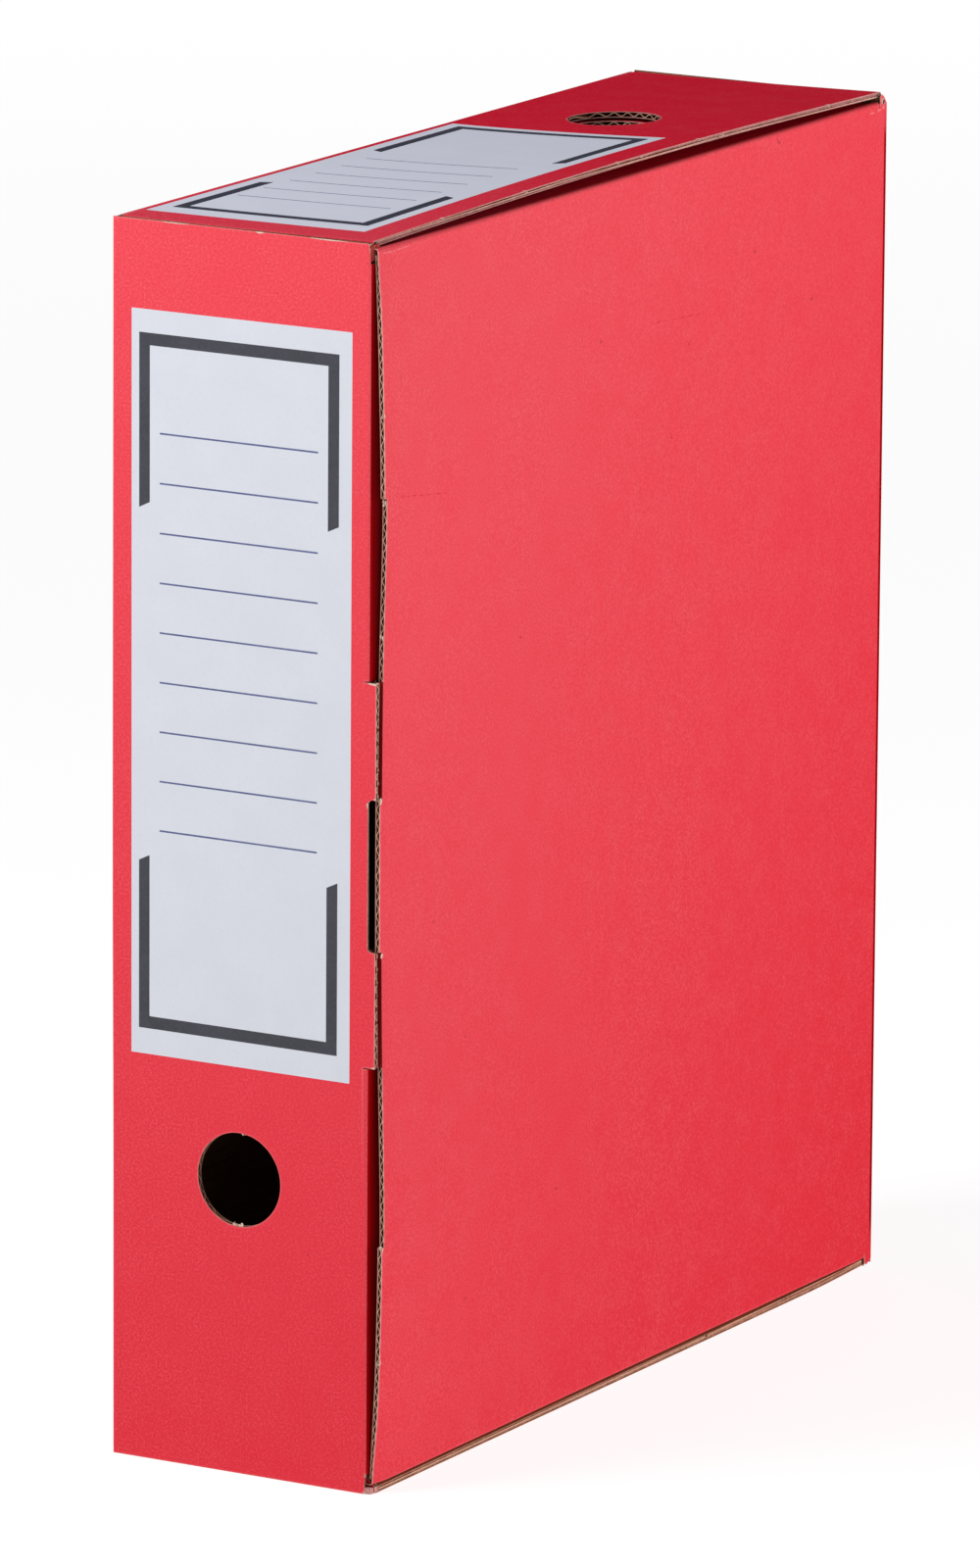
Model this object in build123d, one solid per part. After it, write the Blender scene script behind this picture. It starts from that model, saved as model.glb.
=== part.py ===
"""Upright archive box for A4 papers, folded from one blank of fine corrugated board.

The blank wraps round as lid, back, left, front and front flap. The top and bottom panels fold from the
left panel and carry corner flaps that lie behind the front and the back. The lid closes the right side
and has a tuck flap above and below. Every panel is three papers glued together: a printed outer liner,
a fluted medium and a kraft inner liner.

Frame: origin under the middle of the box, X across (lid at +X), Y deep (front at -Y), Z up.
"""

import os
from math import ceil, cos, atan2, degrees, hypot, radians, sqrt, tan

from build123d import *

# Overall size of the closed box, in millimetres
width = 76.0
depth = 260.0
height = 315.0

# The board: liners, fluted medium and the glue between them
liner = 0.22
flute_height = 1.16
flute_pitch = 3.35
medium_paper = 0.16
glue_line = 0.03

# Outer radius of a folded crease
fold_radius = 0.8

# Air left between boards that lie on each other, at a crease and beside a swinging flap
layer_gap = 0.15
crease_gap = 0.06
swing_gap = 1.2

# Thumb holes in the front and in the top
thumb_hole = 24.0
hole_facets = 16
front_hole_from_left = 37.1
front_hole_height = 75.6
top_hole_from_left = 36.0
top_hole_from_back = 73.0

# Locking edge: two tabs of the front with a finger slot between them, and the lid edge that meets them
tab_length = 29.3
tab_kerf = 0.3
slot_length = 38.5
slot_depth = 0.5
slot_corner = 0.6
slot_reach = 10.0
lid_setback = 1.4
recess_length = 75.0
recess_depth = 1.0

# Front flap, folded in behind the lid
front_flap_reach = 40.0
front_flap_chamfer = 14.0
corner_notch = 5.0
notch_ends_back = 0.85
notch_foot_back = 0.25

# Corner flaps of the top and bottom panels
corner_flap_reach = 55.0
corner_flap_taper = 3.0

# How far the cut edges of the top and bottom panels stand back from the lid's face
top_setback_front = 2.5
top_setback_back = 2.5
bottom_setback = 0.9

# Tuck flaps of the lid
lid_flap_short = 9.0
lid_flap_corner = 8.0
lid_flap_fold_in = 60.0

# Angles of the creases
right_angle = 90.0
half_fold = right_angle / 2

# Sizes that follow from the ones above
board = 2 * liner + flute_height
right = width / 2
front = -depth / 2
mid_height = height / 2
inner_left = -right + board
front_fold = right - board - layer_gap
lid_top = height - board - layer_gap
crease_apex = fold_radius * (1 - 1 / sqrt(2))
hinge_x = right - crease_apex
hinge_y = -front - crease_apex
crease_relief = degrees(crease_gap / fold_radius)
lock_reach = slot_length / 2 + tab_length + tab_kerf


def span(x0, x1, y0, y1):
    """Rectangle between two corners."""
    return Pos((x0 + x1) / 2, (y0 + y1) / 2) * Rectangle(x1 - x0, y1 - y0)


def medium(along, across):
    """Zigzag paper: waves march along X, flutes run along Y, its lowest fold at Z = 0."""
    crest = flute_height - 2 * glue_line
    slope = atan2(crest, flute_pitch / 2)
    paper_rise = medium_paper / cos(slope)
    count = ceil(along / flute_pitch) + 1
    start = -count * flute_pitch / 2
    upper = []
    for fold in range(2 * count + 1):
        level = crest if fold % 2 else paper_rise
        upper.append((start + fold * flute_pitch / 2, level))
    lower = [(x, level - paper_rise) for x, level in reversed(upper)]
    profile = make_face(Polyline(*upper, *lower, close=True))
    return extrude(Plane.XZ * profile, across / 2, both=True)


def fluting(outline, flutes_along):
    """Medium trimmed to a panel's outline, lying between its two liners."""
    box = outline.bounding_box()
    middle = box.center()
    if flutes_along == "y":
        sheet = medium(box.size.X, 2 * box.size.Y)
    else:
        sheet = Rot(0, 0, right_angle) * medium(box.size.Y, 2 * box.size.X)
    sheet = Pos(middle.X, middle.Y, liner + glue_line) * sheet
    return sheet & extrude(outline, board)


def lip(start, end, bend):
    """Outer liner folded over a crease, on the right-hand side of the edge from start to end."""
    run = hypot(end[0] - start[0], end[1] - start[1])
    along = ((end[0] - start[0]) / run, (end[1] - start[1]) / run)
    section = Plane(origin=(*end, 0), x_dir=(along[1], -along[0], 0), z_dir=(-along[0], -along[1], 0))
    run_on = board - fold_radius
    turn = bend if bend > half_fold else bend - crease_relief
    outer_arc = CenterArc((run_on, run_on), fold_radius, right_angle - turn, turn)
    inner_arc = CenterArc((run_on, run_on), fold_radius - liner, right_angle - turn, turn)
    ply = [
        Line((0, board), outer_arc @ 1),
        outer_arc,
        Line(outer_arc @ 0, inner_arc @ 0),
        inner_arc,
        Line(inner_arc @ 1, (0, board - liner)),
        Line((0, board - liner), (0, board)),
    ]
    folded = extrude(section * make_face(ply), run)
    if bend > half_fold:
        tail = Rectangle(liner, run_on, align=(Align.MAX, Align.MIN))
        folded += extrude(section * (Pos(board, 0) * tail), run)
    return folded


def panel(plane, outline, flutes_along, lips=(), inner_outline=None, hole=None):
    """Three papers of one panel: its plane lies on the inner face and looks outwards."""
    inside = inner_outline or outline
    waves = inside
    if hole:
        thumb = Pos(*hole) * Circle(thumb_hole / 2)
        crushed = Pos(*hole) * RegularPolygon(thumb_hole / 2, hole_facets, major_radius=False)
        waves = inside - crushed
        inside = inside - thumb
        outline = outline - thumb
    outer = extrude(Pos(0, 0, board - liner) * outline, liner)
    for start, end, bend in lips:
        outer += lip(start, end, bend)
    papers = {
        "outer_liner": outer,
        "fluting": fluting(waves, flutes_along),
        "inner_liner": extrude(inside, liner),
    }
    return {paper: plane * solid for paper, solid in papers.items()}


def mirrored(papers, about):
    """The same panel on the opposite side of the box."""
    return {paper: mirror(solid, about=about) for paper, solid in papers.items()}


def left_panel():
    """Panel opposite the lid, creased along all four edges."""
    y0, y1 = front + board, -front - board
    z0, z1 = board, height - board
    lips = [
        ((y0, z0), (y1, z0), half_fold),
        ((y1, z0), (y1, z1), half_fold),
        ((y1, z1), (y0, z1), half_fold),
        ((y0, z1), (y0, z0), half_fold),
    ]
    plane = Plane(origin=(inner_left, 0, 0), x_dir=(0, -1, 0), z_dir=(-1, 0, 0))
    return panel(plane, span(y0, y1, z0, z1), "x", lips)


def front_panel():
    """Narrow front with its thumb hole, the two lock tabs and the finger slot between them."""
    edge = front_fold - board
    lock = lock_reach - tab_kerf
    outline = span(inner_left, edge, 0, height)
    outline += span(edge, right, mid_height - lock, mid_height + lock)
    slot = RectangleRounded(2 * slot_reach, slot_length, slot_corner)
    outline -= Pos(front_fold - slot_depth + slot_reach, mid_height) * slot
    foot = corner_notch - tab_kerf
    for end, level in ((0, foot), (height, height - foot)):
        points = [
            (edge, end),
            (front_fold - notch_ends_back, end),
            (front_fold - notch_foot_back, level),
            (edge, level),
        ]
        outline += make_face(Polyline(*points, close=True))
    lips = [
        ((inner_left, height), (inner_left, 0), half_fold),
        ((edge, corner_notch), (edge, mid_height - lock_reach), half_fold),
        ((edge, mid_height + lock_reach), (edge, height - corner_notch), half_fold),
    ]
    plane = Plane(origin=(0, front + board, 0), x_dir=(1, 0, 0), z_dir=(0, -1, 0))
    hole = (front_hole_from_left - right, front_hole_height)
    return panel(plane, outline, "x", lips, hole=hole)


def front_flap():
    """Flap folded in from the front, cut out where the tabs and the finger slot are."""
    root, tip = front + board, front + front_flap_reach
    low, high = corner_notch, height - corner_notch
    shoulder = root + front_flap_chamfer
    points = [
        (root, low),
        (shoulder, low + front_flap_chamfer),
        (tip, low + front_flap_chamfer),
        (tip, high - front_flap_chamfer),
        (shoulder, high - front_flap_chamfer),
        (root, high),
    ]
    outline = make_face(Polyline(*points, close=True))
    tab_sweep = hypot(right - front_fold + crease_apex, board - crease_apex)
    tab_cut = front + crease_apex + tab_sweep + tab_kerf
    outline -= span(front, tab_cut, mid_height - lock_reach, mid_height + lock_reach)
    slot = RectangleRounded(2 * slot_reach, slot_length, slot_corner)
    outline -= Pos(front, mid_height) * slot
    lips = [
        ((root, mid_height - lock_reach), (root, low), half_fold),
        ((root, high), (root, mid_height + lock_reach), half_fold),
    ]
    plane = Plane(origin=(front_fold - board, 0, 0), x_dir=(0, 1, 0), z_dir=(1, 0, 0))
    return panel(plane, outline, "x", lips)


def back_panel():
    """Narrow back between the left panel and the lid's crease."""
    x0, x1 = -right + board, right - board
    lips = [
        ((x1, 0), (x1, height), half_fold),
        ((x0, height), (x0, 0), half_fold),
    ]
    plane = Plane(origin=(0, -front - board, 0), x_dir=(-1, 0, 0), z_dir=(0, 1, 0))
    return panel(plane, span(x0, x1, 0, height), "x", lips)


def end_panel(front_setback, back_setback, hole=None):
    """Top or bottom panel, with its cut edge set back in front and at the back."""
    y1 = -front - 2 * board - layer_gap
    front_right, back_right = right - front_setback, right - back_setback
    corners = [(inner_left, -y1), (front_right, -y1), (back_right, y1), (inner_left, y1)]
    outline = make_face(Polyline(*corners, close=True))
    lips = [
        ((inner_left, y1), (inner_left, -y1), half_fold),
        ((inner_left, -y1), (front_right, -y1), half_fold),
        ((back_right, y1), (inner_left, y1), half_fold),
    ]
    plane = Plane(origin=(0, 0, height - board), x_dir=(1, 0, 0), z_dir=(0, 0, 1))
    return panel(plane, outline, "y", lips, hole=hole)


def corner_flap(setback):
    """Flap folded down from the top panel's front edge, behind the front."""
    root, tip = height - board, height - board - corner_flap_reach
    root_left, root_right = inner_left, right - setback
    free_left = root_left + corner_flap_taper
    free_right = front_fold - board - 2 * layer_gap
    shoulder = height - corner_notch
    points = [
        (root_left, root),
        (free_left, tip),
        (free_right, tip),
        (free_right, shoulder),
        (root_right, shoulder + root_right - free_right),
        (root_right, root),
    ]
    outline = make_face(Polyline(*points, close=True))
    lips = [((root_right, root), (root_left, root), half_fold)]
    plane = Plane(origin=(0, front + 2 * board + layer_gap, 0), x_dir=(1, 0, 0), z_dir=(0, -1, 0))
    return panel(plane, outline, "y", lips)


def lid_flap_ends():
    """Front and back ends of a lid flap's crease, clear of the corner flaps."""
    back = -front - 2 * board - layer_gap - swing_gap
    return -back, back


def lid():
    """Hinged panel on the right; its cut front edge is set back in two stretches for the tabs."""
    y0, y1 = front + lid_setback, -front - board
    z0, z1 = height - lid_top + board, lid_top - board
    outline = span(y0, y1, z0, z1)
    recess_middle = (slot_length + recess_length) / 2
    for z in (mid_height - recess_middle, mid_height + recess_middle):
        outline -= Pos(y0, z) * Rectangle(2 * recess_depth, recess_length)
    flap_front, flap_back = lid_flap_ends()
    lips = [
        ((y1, z0), (y1, z1), half_fold),
        ((flap_back, z1), (flap_front, z1), right_angle),
        ((flap_front, z0), (flap_back, z0), right_angle),
    ]
    plane = Plane(origin=(right - board, 0, 0), x_dir=(0, 1, 0), z_dir=(1, 0, 0))
    return panel(plane, outline, "x", lips)


def lid_flap(hole=None):
    """Tuck flap of the lid under the top panel, tapered in front so that it swings clear."""
    flap_front, flap_back = lid_flap_ends()
    tip = inner_left + lid_flap_short
    root = right - board - crease_gap
    tip_front = hinge_y - sqrt((hinge_y - flap_front) ** 2 - (hinge_x - tip) ** 2)
    taper = (tip_front - flap_front) / (root - tip)
    plies = []
    for relief in (0, (board - liner) * tan(radians(lid_flap_fold_in))):
        points = [
            (root - relief, flap_front + taper * relief),
            (root - relief, flap_back),
            (tip, flap_back),
            (tip, tip_front),
        ]
        blank = make_face(Polyline(*points, close=True))
        plies.append(fillet(blank.vertices().sort_by(Axis.X)[:2], lid_flap_corner))
    plane = Plane(origin=(0, 0, lid_top - board), x_dir=(1, 0, 0), z_dir=(0, 0, 1))
    return panel(plane, plies[0], "y", inner_outline=plies[1], hole=hole)


upside_down = Plane.XY.offset(mid_height)
top_hole = (top_hole_from_left - right, -front - top_hole_from_back)
bottom_front = mirrored(corner_flap(bottom_setback), upside_down)

panels = {
    "left_panel": left_panel(),
    "front_panel": front_panel(),
    "front_flap": front_flap(),
    "back_panel": back_panel(),
    "top_panel": end_panel(top_setback_front, top_setback_back, top_hole),
    "top_front_flap": corner_flap(top_setback_front),
    "top_back_flap": mirrored(corner_flap(top_setback_back), Plane.XZ),
    "bottom_panel": mirrored(end_panel(bottom_setback, bottom_setback), upside_down),
    "bottom_front_flap": bottom_front,
    "bottom_back_flap": mirrored(bottom_front, Plane.XZ),
    "lid": lid(),
    "lid_top_flap": lid_flap(top_hole),
    "lid_bottom_flap": mirrored(lid_flap(), upside_down),
}

os.makedirs("parts", exist_ok=True)
for panel_name, papers in panels.items():
    for paper, solid in papers.items():
        export_step(solid, f"parts/{panel_name}_{paper}.step")
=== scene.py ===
import math
import random
from dataclasses import dataclass

import bmesh
import bpy
from mathutils import Matrix, Vector


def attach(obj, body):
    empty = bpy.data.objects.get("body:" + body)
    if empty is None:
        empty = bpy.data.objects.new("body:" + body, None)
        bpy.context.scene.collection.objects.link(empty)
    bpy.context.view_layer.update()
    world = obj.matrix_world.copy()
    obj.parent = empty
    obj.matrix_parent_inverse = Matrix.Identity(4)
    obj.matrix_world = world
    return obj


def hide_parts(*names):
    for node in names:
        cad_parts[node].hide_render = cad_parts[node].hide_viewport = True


# The looks of an upright archive box of red-printed corrugated board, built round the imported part.
# Lengths here are millimetres in the part's frame, and become metres in the meshes.

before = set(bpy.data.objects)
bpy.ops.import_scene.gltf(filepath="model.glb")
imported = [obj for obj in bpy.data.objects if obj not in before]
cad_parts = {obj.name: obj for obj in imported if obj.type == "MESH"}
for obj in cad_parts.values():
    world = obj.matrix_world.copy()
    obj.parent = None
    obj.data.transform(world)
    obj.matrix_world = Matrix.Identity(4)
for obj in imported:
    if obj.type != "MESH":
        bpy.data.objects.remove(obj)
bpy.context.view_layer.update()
MM = 0.001
scene = bpy.context.scene

# Box and board, as in the part
width = 76.0
depth = 260.0
height = 315.0
liner = 0.22
flute_height = 1.16
flute_pitch = 3.35
medium_paper = 0.24
fold_radius = 0.8
layer_gap = 0.15
crease_gap = 0.06
swing_gap = 1.2
thumb_hole = 24.0
front_hole = (-0.9, 75.6)
top_hole = (-2.5, 56.8)
tab_length = 29.3
tab_kerf = 0.3
slot_length = 38.5
slot_depth = 0.5
slot_corner = 1.3
slot_reach = 10.0
lid_setback = 1.4
recess_length = 75.0
recess_depth = 1.0
front_flap_reach = 40.0
front_flap_chamfer = 14.0
corner_notch = 5.0
notch_ends_back = 0.85
notch_foot_back = 0.25
notch_kerf_share = 0.2
back_cut_low = 1.0
back_cut_high = 2.2
corner_flap_reach = 55.0
corner_flap_taper = 3.0
top_setback_front = 2.5
top_setback_back = 1.1
bottom_setback_front = 0.4
bottom_setback_back = 0.9
lid_flap_short = 9.0
lid_flap_corner = 8.0
tuck_fold_in = 60.0

# Sizes that follow from these
board = 2 * liner + flute_height
right = width / 2
front = -depth / 2
mid = height / 2
inner_left = -right + board
inner_right = right - board
inner_front = front + board
inner_back = -inner_front
front_edge = right - 2 * board - layer_gap
lid_low = 2 * board + layer_gap
lid_high = height - lid_low
end_reach = -front - 2 * board - layer_gap
top_front_right = right - top_setback_front
top_back_right = right - top_setback_back
bottom_front_right = right - bottom_setback_front
bottom_back_right = right - bottom_setback_back
flap_end = end_reach - swing_gap
lock = slot_length / 2 + tab_length
lock_reach = lock + tab_kerf
lid_edge = front + lid_setback
recess = lid_edge + recess_depth
slot_edge = front_edge + board - slot_depth
slot_low, slot_high = mid - slot_length / 2, mid + slot_length / 2
flap_tip = inner_left + lid_flap_short
run_on = board - fold_radius
half_fold = run_on + fold_radius * math.pi / 4
full_fold = 2 * run_on + fold_radius * math.pi / 2
recess_end = slot_length / 2 + recess_length
foot = corner_notch - notch_kerf_share * tab_kerf
notch_end = front_edge + board - notch_ends_back
notch_foot = front_edge + board - notch_foot_back
notch_top = height - corner_notch
tip = front + front_flap_reach
apex = fold_radius * (1 - 1 / math.sqrt(2))

# The lid's lower fold stands a little higher than its tuck flap, and the upper tuck flap hangs
lid_raised = 0.7
lid_skew = 0.3
lid_skew_reach = 60.0
lid_rise_top = 0.45
tuck_hang = 0.35
lid_bottom = lid_low + lid_raised
tuck_raise = lid_raised * math.tan(math.radians(tuck_fold_in))

# How far the lid's paper runs past its flat part at the back, where the tuck flaps have ended
ear_gap = 0.3
ear_top = 3.6
ear_foot = 3.4
ear_from = flap_end + ear_gap
ear_side = 0.2
ear_side_share = 0.8
ear_curve = ((half_fold, 0.9), (0.8, 0.65), (0.0, 0.35), (-0.8, 0.12), (-1.6, 0.0))

# How far the lid stands out along its cut edge and the top panel along its own
lid_bow_low = 1.2
lid_bow_high = 1.05
lid_bow_base = 0.8
lid_bow_low_at = 66.0
lid_bow_high_at = 250.0
lid_bow_low_width = 42.0
lid_bow_high_width = 32.0
lid_bow_ends = 30.0
lid_bow_reach = 140.0
top_bow_middle = 1.8
top_bow_front = 0.35
top_bow_back = 1.1
top_bow_power = 1.6
bottom_lift = 0.8
bottom_lift_from = 95.0
bottom_lift_power = 1.5

# How much of the flutes' height is lost where edges are pressed
lid_press_edge = 0.28
lid_press_ends = 0.36
lid_press_length = 9.0
slot_crush = 0.8
end_crush = 0.2
crush_reach = 3.5

# How finely the paper is divided, and how its crushed walls and wraps lie
ring_steps = 64
fold_steps = 6
edge_band = 0.45
wave_steps = 8
wave_swing = (flute_height - medium_paper) / 2
line_gap = 0.02
line_inset = 1e-3
wall_step = 2.2
wall_inset = 0.1
wall_ragged = 0.12
wall_paper = 0.25
wall_rim = ((0, liner), (wall_paper, liner), (wall_paper, board - liner), (0, board - liner))
wrap_paper = 0.1
wrap_sink = 0.03
lid_steps_from = 4.0
lock_inside = 0.5
lock_outside = 2.0

# Frayed board in the notches
board_cut_x = 0.4
board_cut_y = 0.5
corner_inset = 0.1
corner_overlap = 0.3
corner_clear = 0.02
back_block_width = 1.2
back_rise_share = 0.9
top_block_inset = 0.5
top_block_reach = 4.4

# Print: painted light that pales it towards the upper front of upright panels (a painted sheen) and
# towards the front of the top, its grain, and its wear along creases and cut edges
light_forward_share = 0.44
light_upward_share = 0.56
level_light_from = 20.0
pale_share = 0.22
dark_grain_share = 0.16
fibre_share = 0.12
cloud_share = 0.3
drift_share = 0.25
speck_share = 0.5
rib_share = 0.3
crease_wear = 0.09
top_wear = 0.8
lid_wear = 0.6
flap_wear = 0.5
bottom_wear = 0.5
end_wear = 0.35
hidden_wear = 0.3
foot_reach = 0.3
ear_root = 1.0
ear_root_side = 0.6

# Painted shade: where the print is darkened to stand in for shade in folds, gaps and hidden flaps
fold_shade_from = 0.95
fold_shade_turn = 0.3
flap_shade_reach = 5.0
crease_shade = 0.4
crease_shade_from = 2.0
crease_shade_run = 6.0
hidden_shade_share = 0.8

# Layers of print, marks of use and the floor
film = 0.02
rule_pitch = 12.53
rule_half = 0.22
spot_shake = 0.004
blot_turn_share = 0.3
blot_shares = (0.62, 1.0)
scratch_dash = (1.2, 4.2)
scratch_gap = (0.3, 1.1)
scratch_shares = (0.35, 1.0)
flake_shares = (0.5, 1.0)
flake_width_share = 0.22
flake_lean = 0.9
flake_thick = 0.05
flake_root = 0.25
flake_bend_share = 0.6
flake_bend = 0.2
flake_curl = 0.5
flake_taper_shares = (1.0, 0.8, 0.25)
nick_to_fray = 12.0
floor_half = 40.0
floor_drop = 0.0002

X, Y, Z = Vector((1, 0, 0)), Vector((0, 1, 0)), Vector((0, 0, 1))


def clamp(value, low=0.0, high=1.0):
    return min(max(value, low), high)


def bell(away, width):
    """1 in the middle, falling off on both sides."""
    return math.exp(-((away / width) ** 2))


def from_lid_end(v):
    return max(0.0, min(v - lid_bottom, lid_high - v))


def back_share(v):
    """0 at the front end of the top panel, 1 at its back end."""
    return (v + end_reach) / (2 * end_reach)


def lid_bow(u, v):
    """The lid's front edge springs outwards between its corners and its lock."""
    hold = math.sin(math.pi / 2 * min(1.0, from_lid_end(v) / lid_bow_ends))
    low = lid_bow_low * bell(v - lid_bow_low_at, lid_bow_low_width)
    high = lid_bow_high * bell(v - lid_bow_high_at, lid_bow_high_width)
    painted_light = max(0.0, 1 - (u - lid_edge) / lid_bow_reach) ** 2
    near_foot = max(0.0, 1 - (v - lid_bottom) / lid_skew_reach)
    rise = lid_skew * u / -front * near_foot + lid_rise_top * max(0.0, (v - mid) / (lid_high - mid))
    return X * (hold * painted_light * (lid_bow_base + low + high) - flute_height * lid_press(u, v)) + Z * rise


def top_edge(v):
    """Where the top panel's cut edge lies, nearer to the lid's face at the back."""
    return top_front_right + (top_back_right - top_front_right) * back_share(v)


def top_bow(u, v):
    """The top panel arches up along its free right-hand edge and lies still at its left crease."""
    share = back_share(v)
    across = max(0.0, (u - inner_left) / (top_front_right - inner_left)) ** top_bow_power
    ends = top_bow_front * (1 - share) + top_bow_back * share
    return Z * (across * (top_bow_middle * math.sin(math.pi * share) + ends))


def bottom_bow(u, v):
    """The bottom panel's back right-hand corner stands clear of the floor."""
    share = max(0.0, (v - bottom_lift_from) / (end_reach - bottom_lift_from))
    across = max(0.0, (u - inner_left) / (right - inner_left))
    return Z * (bottom_lift * across**2 * share**bottom_lift_power)


def held(bow, end):
    """A corner flap goes with the end of the panel it hangs from."""
    return lambda u, v: bow(u, end)


def leaning(root_rise, tip_rise):
    """A tuck flap slopes from its crease to its tip."""
    slope = (root_rise - tip_rise) / (inner_right - flap_tip)
    return lambda u, v: Z * (tip_rise + slope * (u - flap_tip))


def lid_press(u, v):
    """Share of the board's height lost from the printed side along the lid's cut edge."""
    share = lid_press_edge + lid_press_ends * bell(from_lid_end(v), lid_press_length)
    return share * bell(u - lid_edge, crush_reach)


def face_crush(u, v):
    """The front is pressed flat where fingers pull at the slot, and a little along its cut ends."""
    if abs(v - mid) > slot_length / 2:
        return end_crush * bell(min(v, height - v), crush_reach)
    return slot_crush * bell(u - slot_edge, crush_reach)


def top_crush(u, v):
    """The top panel's free edge is a little pressed by the cutting knife."""
    return end_crush * bell(u - top_edge(v), crush_reach)


@dataclass
class Panel:
    """A panel of board: u and v run along it, sink goes in from its printed face, and past its flat
    part the paper turns round the crease."""

    body: str
    inner: Vector
    u_axis: Vector
    v_axis: Vector
    outward: Vector
    u_flat: tuple
    v_flat: tuple
    bow: object = None
    crush: object = None
    straight: object = None
    # painted_shade gives the share of painted shade, which darkens the print, at each point
    painted_shade: object = None
    runs_on: object = None

    def __post_init__(self):
        self.inner = Vector(self.inner)
        self.mirrored = self.u_axis.cross(self.v_axis).dot(self.outward) < 0

    def past(self, u, v):
        """How far a point lies past the flat part, and the way it leaves it."""
        if self.straight and self.straight(v):
            return 0.0, self.u_axis, u, v
        flat_u = clamp(u, *self.u_flat)
        flat_v = clamp(v, *self.v_flat)
        if self.runs_on and self.runs_on(u):
            flat_v = v
        over = (u - flat_u) * self.u_axis + (v - flat_v) * self.v_axis
        if over.length < 1e-6:
            return 0.0, self.u_axis, flat_u, flat_v
        return over.length, over.normalized(), flat_u, flat_v

    def place(self, u, v, sink):
        over, side, flat_u, flat_v = self.past(u, v)
        if self.crush and sink > liner:
            pressed = min(sink - liner, flute_height)
            sink = sink - self.crush(u, v) * pressed
        point = self.inner + self.u_axis * flat_u + self.v_axis * flat_v
        if over <= run_on:
            point = point + side * over + self.outward * (board - sink)
        else:
            turn = min((over - run_on) / fold_radius, math.pi / 2)
            tail = over - run_on - fold_radius * turn
            arm = self.outward * math.cos(turn) + side * math.sin(turn)
            point = point + (side + self.outward) * run_on + arm * (fold_radius - sink)
            point = point - self.outward * tail
        if self.bow:
            point = point + self.bow(flat_u, flat_v)
        return point * MM

    def crease(self, u, v):
        """1 on the ridge of a crease, 0 on the flat."""
        turn = (self.past(u, v)[0] - run_on) / fold_radius
        return math.sin(2 * clamp(turn, 0.0, math.pi / 2))


def arc(centre_u, centre_v, radius, start, end, count=8):
    """Points of an arc from one angle to another, in degrees."""
    points = []
    for k in range(count + 1):
        turn = math.radians(start + (end - start) * k / count)
        points.append((centre_u + radius * math.cos(turn), centre_v + radius * math.sin(turn)))
    return points


def box(u0, u1, v0, v1):
    return [(u0, v0), (u1, v0), (u1, v1), (u0, v1)]


def both_ends(lower):
    """The points of a panel's lower half, and the same points turned over for its upper half."""
    return lower + [(u, height - v) for u, v in reversed(lower)]


def ring(hole):
    return arc(*hole, thumb_hole / 2, 0, 360, ring_steps)[:-1]


def around(outline, hole):
    """The outline in two halves that leave a round hole free."""
    hole_u, hole_v = hole
    halves = []
    for side, start, end in ((1, 180, 0), (-1, 0, -180)):
        kept = []
        for (u0, v0), (u1, v1) in zip(outline, outline[1:] + outline[:1]):
            if side * (v0 - hole_v) >= 0:
                kept.append((u0, v0))
            if (v0 - hole_v) * (v1 - hole_v) < 0:
                kept.append((u0 + (u1 - u0) * (hole_v - v0) / (v1 - v0), hole_v))
        for k in range(len(kept)):
            if kept[k - 1][1] == hole_v and kept[k][1] == hole_v:
                rim = arc(hole_u, hole_v, thumb_hole / 2, start, end, ring_steps // 2)
                kept = kept[:k] + rim + kept[k:]
                break
        halves.append(kept)
    return halves


def steps(start, end, count):
    """Inner division points of a stretch."""
    return [start + (end - start) * k / count for k in range(1, count)]


def cells(loops, u_cuts=(), v_cuts=(), band=0.0):
    """Outlines divided along cut lines, with a narrow band inside the rim: flat points, faces and the
    directed edges of the rim."""
    bm = bmesh.new()
    for loop in loops:
        bm.faces.new([bm.verts.new((u, v, 0)) for u, v in loop])
    bmesh.ops.remove_doubles(bm, verts=bm.verts[:], dist=1e-3)
    bm.normal_update()
    if band:
        bmesh.ops.recalc_face_normals(bm, faces=bm.faces[:])
        bmesh.ops.inset_region(
            bm, faces=bm.faces[:], use_boundary=True, use_even_offset=True, thickness=band
        )
    for axis, cuts in ((X, u_cuts), (Y, v_cuts)):
        for cut in cuts:
            everything = bm.verts[:] + bm.edges[:] + bm.faces[:]
            bmesh.ops.bisect_plane(bm, geom=everything, dist=1e-4, plane_co=axis * cut, plane_no=axis)
    bmesh.ops.remove_doubles(bm, verts=bm.verts[:], dist=1e-3)
    bm.normal_update()
    down = [face for face in bm.faces if face.normal.z < 0]
    bmesh.ops.reverse_faces(bm, faces=down)
    bm.verts.index_update()
    points = [(vert.co.x, vert.co.y) for vert in bm.verts]
    faces = [[vert.index for vert in face.verts] for face in bm.faces]
    rim = []
    for edge in bm.edges:
        if len(edge.link_loops) == 1:
            loop = edge.link_loops[0]
            rim.append((loop.vert.index, loop.link_loop_next.vert.index))
    bm.free()
    return points, faces, rim


def stand(name, data):
    """A new object in the scene."""
    made = bpy.data.objects.new(name, data)
    scene.collection.objects.link(made)
    return made


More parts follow.
